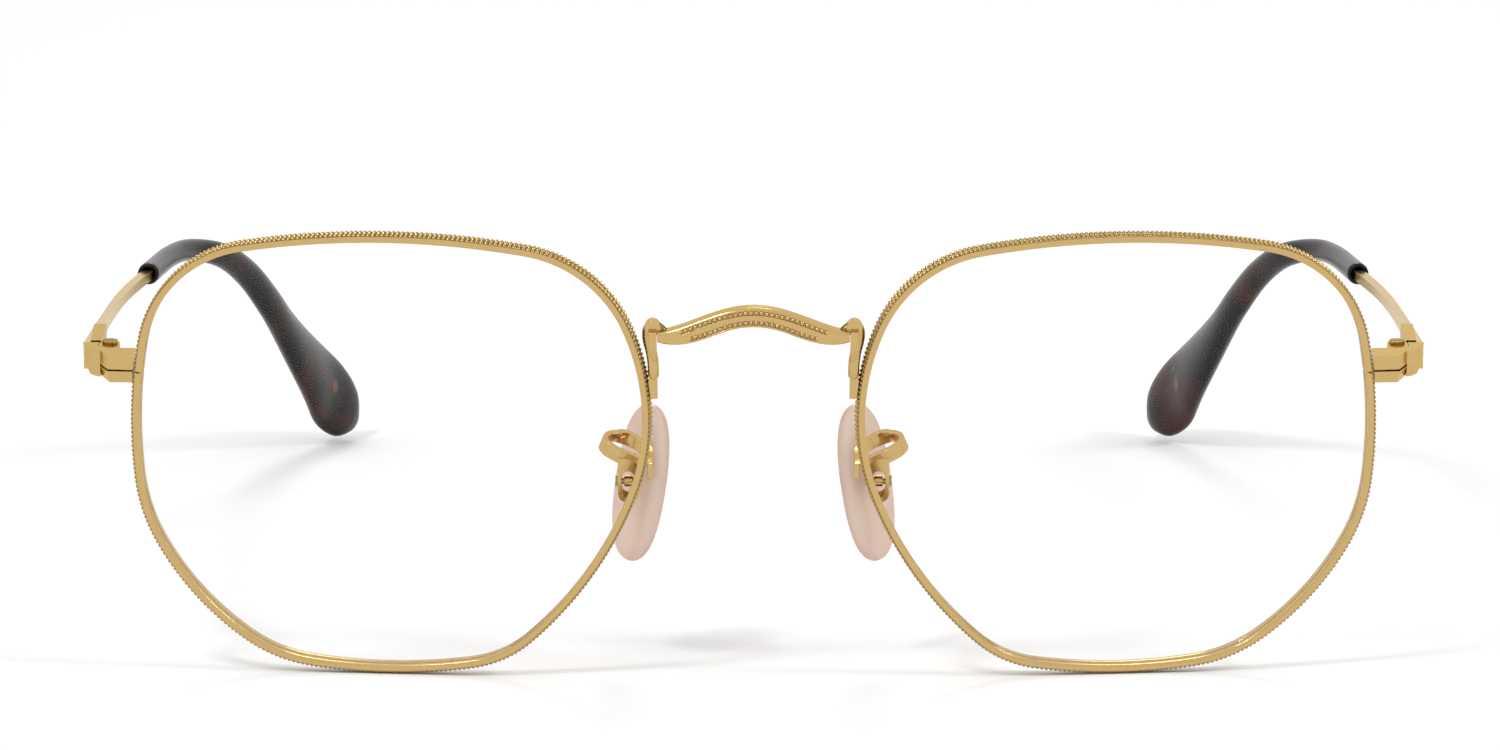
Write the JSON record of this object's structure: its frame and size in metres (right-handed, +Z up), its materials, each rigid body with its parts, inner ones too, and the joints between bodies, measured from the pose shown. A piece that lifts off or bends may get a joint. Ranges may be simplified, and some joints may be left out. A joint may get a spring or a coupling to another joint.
{
  "type": "eyeglasses",
  "caption": "Open hexagonal metal eyeglasses in pale gold with beaded rims, clear demo lenses, tortoise temple tips and rocking nose pads.",
  "frame": {"origin": "centre of the bounding box across and in depth, on the floor that the rims and tips stand on", "axes": "+Z up, -Y out of the front towards the viewer, +X to the wearer's left"},
  "size_m": [0.1362, 0.1391, 0.0455],
  "materials": {
    "gold_metal": "polished",
    "demo_lens": "clear polished",
    "tortoise_tips": "polished tortoise acetate",
    "nose_pads": "soft translucent",
    "screws": "polished"
  },
  "bodies": {
    "front": {"bridge": "gold_metal", "right_rim": "gold_metal", "right_lens": "demo_lens", "right_endpiece": "gold_metal", "right_closing_block": "gold_metal", "right_lock_screw": "screws", "right_hinge_front_leaf": "gold_metal", "right_hinge_screw": "screws", "right_pad_arm": "gold_metal", "right_pad_box": "gold_metal", "right_pad_screw": "screws", "left_rim": "gold_metal", "left_lens": "demo_lens", "left_endpiece": "gold_metal", "left_closing_block": "gold_metal", "left_lock_screw": "screws", "left_hinge_front_leaf": "gold_metal", "left_hinge_screw": "screws", "left_pad_arm": "gold_metal", "left_pad_box": "gold_metal", "left_pad_screw": "screws"},
    "right_temple": {"right_hinge_temple_leaf": "gold_metal", "right_temple_bar": "gold_metal", "right_temple_tip": "tortoise_tips"},
    "right_pad": {"right_pad_insert": "gold_metal", "right_nose_pad": "nose_pads"},
    "left_temple": {"left_hinge_temple_leaf": "gold_metal", "left_temple_bar": "gold_metal", "left_temple_tip": "tortoise_tips"},
    "left_pad": {"left_pad_insert": "gold_metal", "left_nose_pad": "nose_pads"}
  },
  "joints": [
    {"name": "right_temple_fold", "type": "hinge", "parent": "front", "child": "right_temple", "pos_m": [-0.06435, -0.05788, 0.03148], "axis": [0, 0.1045, -0.9945], "range_deg": [0, 80]},
    {"name": "left_temple_fold", "type": "hinge", "parent": "front", "child": "left_temple", "pos_m": [0.06435, -0.05788, 0.03148], "axis": [0, -0.1045, 0.9945], "range_deg": [0, 75]},
    {"name": "right_pad_rock", "type": "hinge", "parent": "front", "child": "right_pad", "pos_m": [-0.0125, -0.06054, 0.01925], "axis": [1, 0, 0], "range_deg": [-8, 8]},
    {"name": "left_pad_rock", "type": "hinge", "parent": "front", "child": "left_pad", "pos_m": [0.0125, -0.06054, 0.01925], "axis": [1, 0, 0], "range_deg": [-8, 8]}
  ]
}
